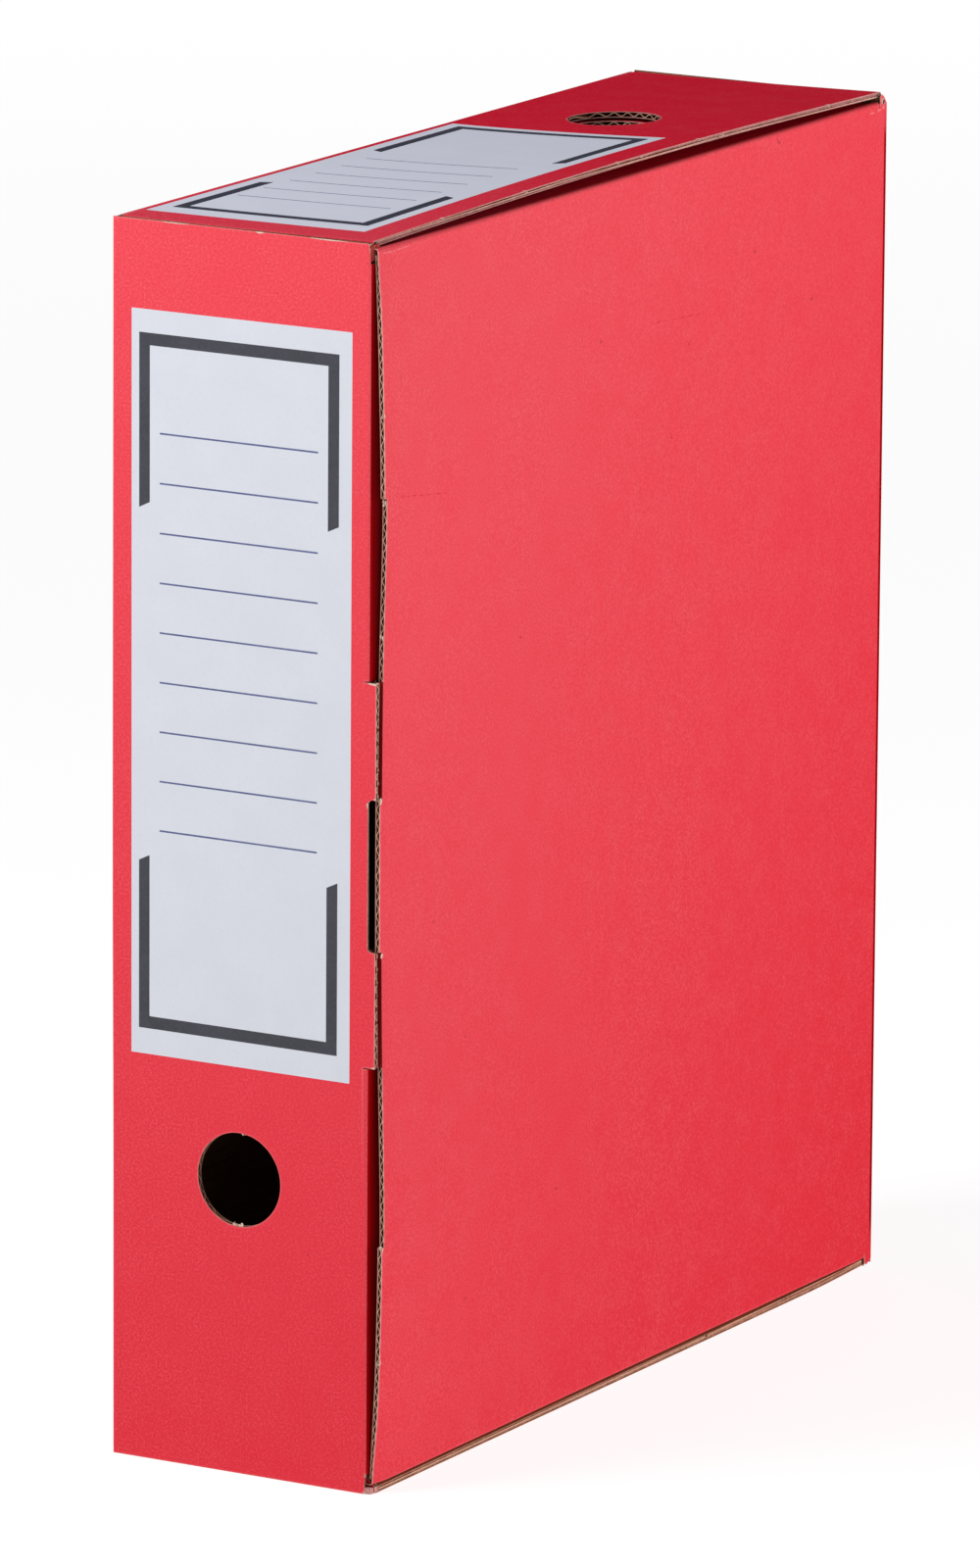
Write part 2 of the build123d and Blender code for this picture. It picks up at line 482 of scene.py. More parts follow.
def piece(name, verts, faces, marks, materials, shares=None, soft_angle=35):
    """A mesh object from points in metres; marks give each face's material, shares its points' wear."""
    mesh = bpy.data.meshes.new(name)
    mesh.from_pydata(verts, [], faces)
    for material in materials:
        mesh.materials.append(material)
    mesh.polygons.foreach_set("material_index", marks)
    mesh.polygons.foreach_set("use_smooth", [True] * len(faces))
    mesh.set_sharp_from_angle(angle=math.radians(soft_angle))
    for share, values in (shares or {}).items():
        mesh.attributes.new(share, "FLOAT", "POINT").data.foreach_set("value", values)
    mesh.validate()
    return stand(name, mesh)


def plain(name, verts, faces, look, body):
    """A piece with one look."""
    made = piece(name, verts, faces, [0] * len(faces), [look])
    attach(made, body)
    return made


def face_out(made):
    """Turns the faces of closed forms outwards."""
    bm = bmesh.new()
    bm.from_mesh(made.data)
    bmesh.ops.recalc_face_normals(bm, faces=bm.faces[:])
    bm.to_mesh(made.data)
    bm.free()


def tube(first, count):
    """Faces round rows of four points each, closed at both ends."""
    rows = [[first + 4 * k + j for j in range(4)] for k in range(count)]
    faces = [rows[0][::-1], rows[-1]]
    for a, b in zip(rows, rows[1:]):
        faces += [[a[k - 1], a[k], b[k], b[k - 1]] for k in range(4)]
    return faces


def paper(name, panel, cut, top, bottom, materials, rim_wear=0.0, inside_out=False):
    """A sheet of paper over divided outlines, between two depths; its materials are the open side, the
    cut edge and the side glued to the flutes."""
    points, faces, rim = cut
    count = len(points)
    verts = [panel.place(u, v, top) for u, v in points]
    verts += [panel.place(u, v, bottom) for u, v in points]
    # Each point's share of painted shade, which darkens the print in its material
    painted_shade = [panel.painted_shade(u, v) if panel.painted_shade else 0.0 for u, v in points]
    worn = [crease_wear * panel.crease(u, v) * (1 - share) for (u, v), share in zip(points, painted_shade)]
    for k in {k for edge in rim for k in edge}:
        rubbed = rim_wear(*points[k]) if callable(rim_wear) else rim_wear
        bare = rubbed * (1 - panel.crease(*points[k])) * (1 - painted_shade[k])
        worn[k] = max(worn[k], bare)
    solid = [list(face) for face in faces]
    solid += [[k + count for k in reversed(face)] for face in faces]
    solid += [[b, a, a + count, b + count] for a, b in rim]
    if panel.mirrored:
        solid = [face[::-1] for face in solid]
    sides = [0, len(materials) - 1]
    if inside_out:
        sides.reverse()
    marks = [sides[0]] * len(faces) + [sides[1]] * len(faces) + [1] * len(rim)
    shares = {"wear": worn + [0.0] * count, "painted_shade": painted_shade + painted_shade}
    made = piece(name, verts, solid, marks, materials, shares)
    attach(made, panel.body)
    return made


def layer(name, panel, sheet, lift, look):
    """A thin layer on a panel's printed face."""
    made = paper(name, panel, sheet, -lift, film / 2, [look, look])


def crossings(loops, march, level):
    """Where the outlines cross a line across the waves' march."""
    hits = []
    for loop in loops:
        for a, b in zip(loop, loop[1:] + loop[:1]):
            if (a[march] - level) * (b[march] - level) < 0:
                share = (level - a[march]) / (b[march] - a[march])
                hits.append(a[1 - march] + share * (b[1 - march] - a[1 - march]))
    return sorted(hits)


def wave(name, panel, loops, march, pieces=1, walls=(), wall_look=None):
    """Fluted paper between the liners, with crushed walls where a cut runs along a flute."""
    verts, faces, known = [], [], {}
    cut_faces = set()

    def corner(s, t, side):
        key = (round(s, 3), round(t, 3), side)
        if key not in known:
            turn = 2 * math.pi * s / flute_pitch
            slope = wave_swing * 2 * math.pi / flute_pitch * math.sin(turn)
            sink = board / 2 + wave_swing * math.cos(turn)
            sink += side * medium_paper / 2 * math.sqrt(1 + slope**2)
            known[key] = len(verts)
            verts.append(panel.place(*((s, t) if march == 0 else (t, s)), sink))
        return known[key]

    stops = [point[march] for loop in loops for point in loop]
    step = flute_pitch / wave_steps
    first = math.ceil(min(stops) / step)
    stops += [step * k for k in range(first, math.floor(max(stops) / step) + 1)]
    lines = []
    for s in sorted(stops):
        if not lines or s - lines[-1] > line_gap:
            lines.append(s)
    for s0, s1 in zip(lines, lines[1:]):
        lows = crossings(loops, march, s0 + line_inset)
        highs = crossings(loops, march, s1 - line_inset)
        if len(lows) != len(highs):
            continue
        for k in range(0, len(lows), 2):
            for j in range(pieces):
                near, far = j / pieces, (j + 1) / pieces
                quad = []
                for s, hits, shares in ((s0, lows, (near, far)), (s1, highs, (far, near))):
                    run = hits[k + 1] - hits[k]
                    quad += [(s, hits[k] + run * share) for share in shares]
                top = [corner(s, t, -1) for s, t in quad]
                low = [corner(s, t, 1) for s, t in quad]
                faces += [top, low[::-1]]
                if j == 0:
                    cut_faces.add(len(faces))
                    faces.append([top[0], top[3], low[3], low[0]])
                if j == pieces - 1:
                    cut_faces.add(len(faces))
                    faces.append([top[2], top[1], low[1], low[2]])
    chance = random.Random(len(verts))
    first_wall = len(faces)
    for (u0, v0), (u1, v1) in walls:
        run = math.hypot(u1 - u0, v1 - v0)
        inward = ((v0 - v1) / run, (u1 - u0) / run)
        count = max(2, int(run / wall_step))
        faces += tube(len(verts), count + 1)
        for k in range(count + 1):
            inset = wall_inset + wall_inset * chance.random()
            for back, sink in wall_rim:
                move = inset + back + wall_ragged * chance.random()
                u = u0 + (u1 - u0) * k / count + inward[0] * move
                v = v0 + (v1 - v0) * k / count + inward[1] * move
                verts.append(panel.place(u, v, sink))
    marks = [1 if k in cut_faces else 0 for k in range(first_wall)]
    marks += [2] * (len(faces) - first_wall)
    made = piece(name, verts, faces, marks, [medium, medium_cut, wall_look or pressed_edge])
    face_out(made)
    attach(made, panel.body)
    return made


def srgb(colour):
    """A colour seen on a screen, as the shader's own values."""
    shares = [value / 255 for value in colour]
    linear = [s / 12.92 if s <= 0.04045 else ((s + 0.055) / 1.055) ** 2.4 for s in shares]
    return (*linear, 1.0)


class Paint:
    """A node material whose textures are laid out in the part's frame."""

    def __init__(self, name, roughness, specular):
        self.material = bpy.data.materials.new(name)
        self.material.use_nodes = True
        self.tree = self.material.node_tree
        self.inputs = self.tree.nodes["Principled BSDF"].inputs
        self.inputs["Roughness"].default_value = roughness
        self.inputs["Specular IOR Level"].default_value = specular
        self.coords = self.node("TexCoord", {}, "Object")

    def feed(self, socket, value):
        if isinstance(value, bpy.types.NodeSocket):
            self.tree.links.new(value, socket)
        else:
            socket.default_value = value

    def node(self, kind, inputs, output, **settings):
        """One output of a new node, which gets its settings and inputs first."""
        made = self.tree.nodes.new(f"ShaderNode{kind}")
        for key, value in settings.items():
            setattr(made, key, value)
        for key, value in inputs.items():
            self.feed(made.inputs[key], value)
        return made.outputs[output]

    def noise(self, scale, detail=2.0, stretch=(1, 1, 1), roughness=0.5):
        place = self.node("Mapping", {"Vector": self.coords, "Scale": stretch}, "Vector")
        inputs = {"Vector": place, "Scale": scale, "Detail": detail, "Roughness": roughness}
        return self.node("TexNoise", inputs, "Fac")

    def sums(self, operation, a, b=0.0):
        return self.node("Math", {0: a, 1: b}, 0, operation=operation)

    def spread(self, value, low, high, to_low=0.0, to_high=1.0):
        inputs = {"Value": value, "From Min": low, "From Max": high, "To Min": to_low, "To Max": to_high}
        return self.node("MapRange", inputs, "Result", interpolation_type="SMOOTHSTEP")

    def mix(self, factor, a, b):
        """Two tones mixed; a plain colour is given in red, green and blue as on a screen."""
        a, b = (srgb(tone) if isinstance(tone, tuple) else tone for tone in (a, b))
        return self.node("Mix", {0: factor, 6: a, 7: b}, 2, data_type="RGBA")

    def over(self, tone, colour, value, low, high, most=1.0):
        """A tone with a colour over it where a value is high."""
        return self.mix(self.spread(value, low, high, 0.0, most), tone, colour)

    def along(self, axis):
        return self.node("SeparateXYZ", {0: self.coords}, axis)

    def ribs(self, axis):
        """Faint ribs of the flutes under a liner, one for each wave."""
        turn = self.sums("MULTIPLY", self.along(axis), 2 * math.pi / (flute_pitch * MM))
        return self.sums("SINE", turn)

    def attribute(self, name):
        return self.node("Attribute", {}, "Fac", attribute_name=name)

    def colour(self, value):
        self.feed(self.inputs["Base Color"], value)

    def bump(self, value, strength, distance):
        inputs = {"Height": value, "Strength": strength, "Distance": distance * MM}
        self.feed(self.inputs["Normal"], self.node("Bump", inputs, "Normal"))


def printed(name, rib_axis, dark, light, gloss):
    """Red ink on the liner, with painted light paling it towards the upper front of upright panels (a
    painted sheen) and towards the front of the top; with fine paper grain, soft clouds, slow drift, dark
    specks, rubbed folds, and deep red painted shade inside folds and gaps."""
    paint = Paint(name, 0.62, gloss)
    # Painted light: paler towards the upper front of upright panels and towards the front of the top,
    # standing in for sheen and the lamps' falloff
    if rib_axis == 2:
        forward = paint.sums("MULTIPLY", paint.along(1), -light_forward_share / (depth * MM))
        upward = paint.sums("MULTIPLY", paint.along(2), light_upward_share / (height * MM))
        painted_light = paint.sums("ADD", paint.sums("ADD", forward, upward), light_forward_share / 2)
    else:
        painted_light = paint.spread(paint.along(1), level_light_from * MM, front * MM)
    ground = paint.mix(painted_light, dark, light)
    pale = paint.mix(pale_share, ground, paint.mix(painted_light, (244, 116, 124), (250, 150, 150)))
    grain = paint.noise(1700, 2, roughness=0.6)
    fibres = paint.noise(420, 3, (1, 1, 0.45), roughness=0.65)
    clouds = paint.noise(120, 4)
    drift = paint.noise(14, 2, (1, 1, 0.25))
    tone = paint.over(ground, pale, grain, 0.46, 0.7)
    tone = paint.mix(paint.spread(grain, 0.34, 0.5, dark_grain_share, 0.0), tone, (176, 0, 22))
    tone = paint.over(tone, pale, fibres, 0.4, 0.75, fibre_share)
    tone = paint.over(tone, ground, clouds, 0.3, 0.7, cloud_share)
    tone = paint.over(tone, ground, drift, 0.35, 0.7, drift_share)
    # Painted shade: deep red without sheen where a point's share of painted shade is high
    painted_shade = paint.attribute("painted_shade")
    tone = paint.mix(painted_shade, tone, (158, 6, 12))
    tone = paint.over(tone, (160, 14, 34), paint.noise(330, 1), 0.8, 0.85, speck_share)
    rubbed = paint.spread(paint.noise(700, 3, roughness=0.7), 0.3, 0.7, 0.25, 1.0)
    worn = paint.sums("MULTIPLY", paint.attribute("wear"), rubbed)
    tone = paint.mix(worn, tone, (246, 176, 172))
    paint.colour(tone)
    ribs = paint.sums("MULTIPLY", paint.ribs(rib_axis), rib_share)
    paint.bump(paint.sums("ADD", grain, ribs), 0.25, 0.05)
    paint.feed(paint.inputs["Roughness"], paint.spread(clouds, 0.2, 0.8, 0.56, 0.68))
    paint.feed(paint.inputs["Specular IOR Level"], paint.spread(painted_shade, 0.0, 1.0, gloss, 0.0))
    return paint.material


def kraft(name, rib_axis, light, dark, fibres):
    """Raw brown paper with fibres, flecks and the flutes showing through."""
    paint = Paint(name, 0.8, 0.15)
    clouds = paint.noise(120, 4)
    threads = paint.noise(900, 3, fibres, roughness=0.65)
    tone = paint.over(light, dark, clouds, 0.3, 0.7)
    tone = paint.over(tone, (120, 82, 54), threads, 0.42, 0.75, 0.5)
    tone = paint.over(tone, (206, 172, 132), paint.noise(650, 1), 0.7, 0.8, 0.55)
    ribs = paint.ribs(rib_axis)
    tone = paint.over(tone, (126, 88, 60), ribs, 0.2, 1.0, 0.22)
    paint.colour(tone)
    paint.bump(paint.sums("ADD", threads, paint.sums("MULTIPLY", ribs, 0.35)), 0.3, 0.08)
    return paint.material


def raw(name, light, dark):
    """Torn or cut paper, fibrous and uneven."""
    paint = Paint(name, 0.85, 0.1)
    fibre = paint.noise(1500, 3, roughness=0.7)
    tone = paint.over(dark, light, fibre, 0.3, 0.7)
    paint.colour(paint.over(tone, dark, paint.noise(260, 3), 0.4, 0.7, 0.5))
    paint.bump(fibre, 0.4, 0.1)
    return paint.material


def ink(name, full, thin, cover, rib_axis):
    """Print in an even tone with a little grain and thin places."""
    paint = Paint(name, 0.6, 0.2)
    grain = paint.noise(1150, 2, roughness=0.6)
    clouds = paint.noise(70, 4)
    tone = paint.over(full, thin, clouds, 0.3, 0.7, 0.35)
    paint.colour(paint.over(tone, thin, grain, 0.45, 0.8, cover))
    ribs = paint.sums("MULTIPLY", paint.ribs(rib_axis), rib_share)
    paint.bump(paint.sums("ADD", grain, ribs), 0.2, 0.05)
    return paint.material


# The upright and level copies of the red print differ in colour to suit how light falls on the sides and
# on the top: lit and shaded copies, painted light; their gloss differs too
print_upright = printed("printed_liner_upright", 2, (227, 1, 38), (244, 70, 84), 0.18)
print_level = printed("printed_liner_level", 0, (227, 4, 48), (236, 56, 80), 0.04)
kraft_upright = kraft("kraft_liner_upright", 2, (176, 130, 90), (158, 114, 76), (1, 1, 4))
kraft_level = kraft("kraft_liner_level", 0, (176, 130, 90), (158, 114, 76), (4, 1, 1))
medium = raw("fluted_medium", (128, 70, 46), (96, 44, 26))
medium_cut = raw("cut_medium", (232, 186, 164), (200, 148, 124))
pressed_edge = raw("pressed_edge", (196, 138, 134), (150, 96, 92))
cut_level = raw("cut_level", (226, 168, 162), (186, 126, 122))
# A darker, less pink copy of the cut edge for the bottom panel: painted shade low down by the floor
cut_bottom_shaded = raw("cut_bottom_shaded", (204, 148, 122), (164, 110, 86))
cut_edge = raw("cut_liner", (244, 196, 184), (206, 150, 138))
cut_kraft = raw("cut_kraft", (226, 180, 158), (190, 140, 116))
torn = raw("torn_paper", (244, 226, 212), (214, 176, 156))
frayed_red = raw("frayed_red", (206, 92, 84), (150, 46, 42))
worn_red = ink("worn_print", (243, 116, 124), (238, 88, 100), 0.5, 2)
# Dark red painted shade for the groove behind the lock tabs
groove_shade_red = ink("groove_shade_print", (140, 3, 10), (118, 2, 6), 0.4, 2)
deep_red = ink("deep_red", (226, 22, 50), (236, 44, 66), 0.4, 2)
label_white = ink("label_field", (222, 225, 234), (214, 217, 227), 0.4, 2)
# Copies of the label's white and frame inks for the top, tinted to suit how light falls there: painted
# light
label_white_top_lit = ink("label_field_top_lit", (234, 237, 253), (226, 229, 246), 0.4, 0)
label_dark = ink("label_frame", (66, 66, 74), (84, 84, 94), 0.5, 2)
label_dark_top_lit = ink("label_frame_top_lit", (54, 54, 72), (68, 68, 88), 0.5, 0)
label_line = ink("label_rule", (88, 96, 142), (128, 134, 170), 0.6, 2)


def beside_tabs(v):
    return abs(v - mid) < lock + tab_kerf / 2


def fold_painted_shade(u, v):
    """Painted shade: the front's print is darkened where it turns into the fold beside the lid, as the
    shade in the gap there.
    """
    turn = (u - front_edge - run_on) / fold_radius
    return 0.0 if beside_tabs(v) else clamp((turn - fold_shade_from) / fold_shade_turn)


def flap_painted_shade(u, v):
    """Painted shade: the front flap's print is darkened near its crease, where it lies in shade in the
    gap behind the lid.
    """
    return clamp(2 - (u - inner_front) / flap_shade_reach)


def lid_runs_on(u):
    """Past the end of its tuck flaps the lid's paper runs on unfolded."""
    return u > flap_end + ear_gap / 2


def lid_painted_shade(u, v):
    """Painted shade along the lid's back crease, darkening it along its length."""
    along = clamp((from_lid_end(v) - crease_shade_from) / crease_shade_run)
    return along * clamp(1 + (u - inner_back) / crease_shade)


def lid_rim(u, v):
    """Wear along the lid's cut edges, none at the roots of its back corners."""
    at_root = u > flap_end - ear_root and lid_bottom - ear_root_side < v < lid_high + ear_root_side
    return 0.0 if at_root else lid_wear


def face_rim(u, v):
    """Wear along the front's cut edges, none at the feet of its notches."""
    return 0.0 if abs(abs(v - mid) - mid + foot) < foot_reach else end_wear


def hidden_painted_shade(u, v):
    """Painted shade on the corner flaps, which lie in the dark behind the front and the back."""
    return hidden_shade_share


# Panels of the box, each on the body that carries it; the corner flaps follow further down
left = Panel("tray", (inner_left, 0, 0), Y, Z, -X, (inner_front, inner_back), (board, height - board))
face_flat = ((inner_left, front_edge), (0, height))
face = Panel("tray", (0, inner_front, 0), X, Z, -Y, *face_flat, None, face_crush, beside_tabs, fold_painted_shade)
back = Panel("tray", (0, inner_back, 0), X, Z, Y, (inner_left, inner_right), (0, height))
end_flat = ((inner_left, right), (-end_reach, end_reach))
top = Panel("tray", (0, 0, height - board), X, Y, Z, *end_flat, top_bow, top_crush)
bottom = Panel("tray", (0, 0, board), X, Y, -Z, *end_flat, bottom_bow)
lid_flat = ((lid_edge, inner_back), (lid_bottom, lid_high))
lid = Panel(
    "lid", (inner_right, 0, 0), Y, Z, X, *lid_flat,
    lid_bow, lid_press, painted_shade=lid_painted_shade, runs_on=lid_runs_on,
)
tuck_flat = ((flap_tip, inner_right), (-flap_end, flap_end))
tuck_top = Panel("lid_top_flap", (0, 0, lid_high), X, Y, Z, *tuck_flat, leaning(0.0, -tuck_hang))
tuck_bottom = Panel("lid_bottom_flap", (0, 0, lid_low), X, Y, -Z, *tuck_flat, leaning(lid_raised, 0.0))
flap_flat = ((inner_front, tip), (0, height))
flap = Panel("front_flap", (front_edge, 0, 0), Y, Z, X, *flap_flat, painted_shade=flap_painted_shade)

# Division lines of the lid and of the top and bottom panels
lid_u = steps(lid_edge, lid_edge + crush_reach, 10)
lid_u += [lid_edge + crush_reach, lid_edge + 2 * crush_reach]
lid_u += steps(lid_edge + lid_steps_from, inner_back, 22) + [inner_back - crease_shade]
lid_v = steps(lid_bottom, lid_high, 72) + steps(lid_bottom - full_fold, lid_bottom, 10)
lid_v += steps(lid_high, lid_high + full_fold, 10)
for turn in (-1, 1):
    lid_v += steps(mid + turn * slot_length / 2, mid + turn * (slot_length / 2 + lock_outside), 4)
    lid_v += steps(mid + turn * (lock - lock_inside), mid + turn * (lock + lock_outside), 5)
top_u = steps(inner_left, top_front_right, 13)
top_u += steps(top_front_right - crush_reach, top_back_right, 8)
top_v = steps(-end_reach, end_reach, 26)


def dress(
    name, panel, march, rims, outline, lips=(), u_cuts=(), v_cuts=(), more=(),
    hole=None, pieces=1, walls=(), inner=None, wall_look=None, edge_look=None,
):
    """The three papers of a panel in place of its CAD papers; a flat inner liner stays as it is. A lip
    turns round a crease: its axis, its root, the way it goes and its two ends."""
    red, brown = (print_upright, kraft_upright) if march == 1 else (print_level, kraft_level)
    loops = around(outline, hole) if hole else [outline]
    cuts = (list(u_cuts), list(v_cuts))
    for axis, root, way, start, end in lips:
        reach = root + way * half_fold
        loops.append(box(start, end, root, reach) if axis else box(root, reach, start, end))
        cuts[axis].extend(steps(root, reach, fold_steps))
    sheet = cells(loops + list(more), *cuts, edge_band)
    reds = [red, edge_look or cut_edge, medium]
    skin = paper(f"{name}_printed_skin", panel, sheet, 0.0, liner, reds, rims)
    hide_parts(f"{name}_outer_liner")
    inside = inner or outline
    loops = [inside, ring(hole)] if hole else [inside]
    flutes = wave(f"{name}_wave", panel, loops, march, pieces, walls, wall_look)
    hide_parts(f"{name}_fluting")
    if panel.bow or panel.crush:
        sheet = cells(around(inside, hole) if hole else [inside], *cuts)
        browns = [brown, edge_look or cut_kraft, medium]
        top_sink = board - liner
        backing = paper(f"{name}_kraft_skin", panel, sheet, top_sink, board, browns, inside_out=True)
        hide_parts(f"{name}_inner_liner")
    else:
        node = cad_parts[f"{name}_inner_liner"]
        node.data.materials.clear()
        node.data.materials.append(brown)


# Left panel, creased all round
y0, y1, z0, z1 = inner_front, inner_back, board, height - board
left_lips = [(0, y0, -1, z0, z1), (0, y1, 1, z0, z1), (1, z0, -1, y0, y1), (1, z1, 1, y0, y1)]
dress("left_panel", left, 1, 0, box(y0, y1, z0, z1), left_lips)

# Front panel with its thumb hole, the lock tabs and the finger slot between them
front_outline = both_ends([
    (inner_left, 0),
    (notch_end, 0),
    (notch_foot, foot),
    (front_edge, foot),
    (front_edge, corner_notch),
    (front_edge, mid - lock_reach),
    (front_edge, mid - lock),
    (right, mid - lock),
    (right, slot_low),
    *arc(slot_edge + slot_corner, slot_low + slot_corner, slot_corner, 270, 180, 4),
])
fold_spans = ((corner_notch, mid - lock_reach), (mid + lock_reach, notch_top))
front_lips = [(0, inner_left, -1, 0, height)] + [(0, front_edge, 1, *span) for span in fold_spans]
front_u = steps(front_edge - 2 * crush_reach, front_edge, 6) + [slot_edge, slot_edge + slot_corner]
front_v = [front_hole[1], slot_low, slot_high] + steps(0, 2 * crush_reach, 5)
front_v += steps(slot_low, slot_high, 4) + steps(height - 2 * crush_reach, height, 5)
front_walls = [((notch_end, height), (inner_left, height)), ((inner_left, 0), (notch_end, 0))]
dress(
    "front_panel", face, 1, face_rim, front_outline, front_lips, front_u, front_v,
    hole=front_hole, walls=front_walls, wall_look=torn,
)

# Front flap behind the lid, cut out beside the tabs and the slot
tab_sweep = math.hypot(right - front_edge - board + apex, board - apex)
tab_cut = front + apex + tab_sweep + tab_kerf
slot_end = front + slot_reach
flap_outline = both_ends([
    *arc(slot_end - slot_corner, slot_low + slot_corner, slot_corner, 0, -90, 4),
    (tab_cut, slot_low),
    (tab_cut, mid - lock_reach),
    (inner_front, mid - lock_reach),
    (inner_front, corner_notch),
    (inner_front + front_flap_chamfer, corner_notch + front_flap_chamfer),
    (tip, corner_notch + front_flap_chamfer),
])
flap_lips = [(0, inner_front, -1, *span) for span in fold_spans]
dress("front_flap", flap, 1, flap_wear, flap_outline, flap_lips)

# Back panel between the left panel and the lid, its corners cut off
back_low_end = (inner_right - back_cut_low, 0)
back_high_end = (inner_right - back_cut_high, height)
back_outline = [
    (inner_left, 0),
    back_low_end,
    (inner_right, back_cut_low),
    (inner_right, height - back_cut_high),
    back_high_end,
    (inner_left, height),
]
back_lips = [
    (0, inner_left, -1, 0, height),
    (0, inner_right, 1, back_cut_low, height - back_cut_high),
]
back_walls = [(back_high_end, (inner_left, height)), ((inner_left, 0), back_low_end)]
dress("back_panel", back, 1, end_wear, back_outline, back_lips, walls=back_walls, wall_look=torn)


def dress_end(name, panel, rims, front_right, back_right, v_cuts, **more):
    """The top or bottom panel with its cut right-hand edge and its lips over the creases."""
    outline = [
        (inner_left, -end_reach),
        (front_right, -end_reach),
        (back_right, end_reach),
        (inner_left, end_reach),
    ]
    lips = [
        (0, inner_left, -1, -end_reach, end_reach),
        (1, -end_reach, -1, inner_left, front_right),
        (1, end_reach, 1, inner_left, back_right),
    ]
    walls = [(outline[1], outline[2])]
    dress(name, panel, 0, rims, outline, lips, top_u, v_cuts, pieces=10, walls=walls, **more)


dress_end(
    "top_panel", top, top_wear, top_front_right, top_back_right, top_v + [top_hole[1]],
    hole=top_hole, edge_look=cut_level,
)
dress_end(
    "bottom_panel", bottom, bottom_wear, bottom_front_right, bottom_back_right, top_v,
    wall_look=cut_bottom_shaded, edge_look=cut_bottom_shaded,
)


# Frayed board in the notches beside the front's fold and under the top panel's back corner
def corner_board(name, low, high, look):
    """A block of board with its front right-hand edge cut off."""
    cut_corner = (high[0] - board_cut_x, low[1] + board_cut_y)
    corners = (low[:2], cut_corner, high[:2], (low[0], high[1]))
    verts = [Vector((x, y, z)) * MM for z in (low[2], high[2]) for x, y in corners]
    plain(name, verts, tube(0, 2), look, "tray")


corner_back = -end_reach + corner_overlap
bottom_low = (notch_end + corner_inset, front + corner_inset, corner_clear)
bottom_high = (bottom_front_right, corner_back, board)
corner_board("bottom_corner_board", bottom_low, bottom_high, cut_level)
back_rise = back_rise_share * top_bow_back
back_low = (top_back_right - back_block_width, end_reach - corner_inset, height - board + back_rise)
back_high = (top_back_right, end_reach + run_on, height + back_rise)
corner_board("back_corner_board", back_low, back_high, cut_level)
top_low = (notch_end + corner_inset, front + top_block_inset, height - top_block_reach)
top_high = (notch_foot + corner_overlap, corner_back, height - top_block_inset)
corner_board("top_corner_board", top_low, top_high, frayed_red)

# Corner flaps behind the front and the back
corner_flat = ((inner_left, right), (0, height - board))
root, free = height - board, height - board - corner_flap_reach
free_right = front_edge - 2 * layer_gap
corner_walls = [((free_right, free), (free_right, notch_top))]
for name, end, level, up, bow, root_right in (
    ("top_front_flap", -end_reach, 0, Z, held(top_bow, -end_reach), top_front_right),
    ("top_back_flap", end_reach, 0, Z, held(top_bow, end_reach), top_back_right),
    ("bottom_front_flap", -end_reach, height, -Z, None, bottom_front_right),
    ("bottom_back_flap", end_reach, height, -Z, held(bottom_bow, end_reach), bottom_back_right),
):
    outward = Y if end > 0 else -Y
    panel = Panel("tray", (0, end, level), X, up, outward, *corner_flat, bow, painted_shade=hidden_painted_shade)
    outline = [
        (inner_left, root),
        (inner_left + corner_flap_taper, free),
        (free_right, free),
        (free_right, notch_top),
        (root_right, notch_top + root_right - free_right),
        (root_right, root),
    ]
    lips = [(1, root, 1, inner_left, root_right)]
    corner_u = steps(inner_left, root_right, 10) if bow else ()
    dress(name, panel, 0, hidden_wear, outline, lips, corner_u, walls=corner_walls)

# Lid with its recessed cut edge
lid_outline = [
    (lid_edge, lid_bottom),
    (flap_end, lid_bottom),
    (ear_from, lid_bottom),
    (inner_back, lid_bottom),
    (inner_back, lid_high),
    (ear_from, lid_high),
    (flap_end, lid_high),
    (lid_edge, lid_high),
    (lid_edge, mid + recess_end),
    (recess, mid + recess_end),
    (recess, slot_high),
    (lid_edge, slot_high),
    (lid_edge, slot_low),
    (recess, slot_low),
    (recess, mid - recess_end),
    (lid_edge, mid - recess_end),
]


def ear(root, reach, rounding):
    """End of the lid's paper at its back crease, up or down from the lid's flat part and rounded."""
    loop = [(ear_from, root), (inner_back, root), (inner_back + half_fold, root)]
    for along, fall_share in ear_curve:
        loop.append((inner_back + along, root + reach * (1 - rounding * fall_share)))
    loop.append((ear_from + ear_side, root + ear_side_share * reach))
    return loop


lid_ends = [
    ear(lid_high, ear_top, 1.0),
    ear(lid_bottom, -ear_foot, 0.5),
    box(lid_edge, flap_end, lid_high, lid_high + full_fold),
    box(lid_edge, flap_end, lid_bottom - full_fold - tuck_raise, lid_bottom),
]
lid_lips = [(0, inner_back, 1, lid_bottom, lid_high)]
dress("lid", lid, 1, lid_rim, lid_outline, lid_lips, lid_u, lid_v, lid_ends, pieces=8)

# Beside the lock tabs the printed liner is pressed round the lid's cut edge, coloured dark red as
# painted shade for the groove behind the tabs
wrap_rim = ((-wrap_paper, wrap_sink), (-wrap_paper, board), (0.0, board), (0.0, wrap_sink))
for name, low, high in (
    ("lid_edge_lower", mid - lock, slot_low),
    ("lid_edge_upper", slot_high, mid + lock),
):
    levels = [low] + steps(low, high, 14) + [high]
    verts = [lid.place(recess + u, v, sink) for v in levels for u, sink in wrap_rim]
    plain(name, verts, tube(0, len(levels)), groove_shade_red, "lid")

# Tuck flaps of the lid, the lower one cut back as far as the lid's fold stands above it
hinge = -front - apex
swing = hinge + flap_end
tuck_root = inner_right - crease_gap
tuck_relief = (board - liner) * math.tan(math.radians(tuck_fold_in))


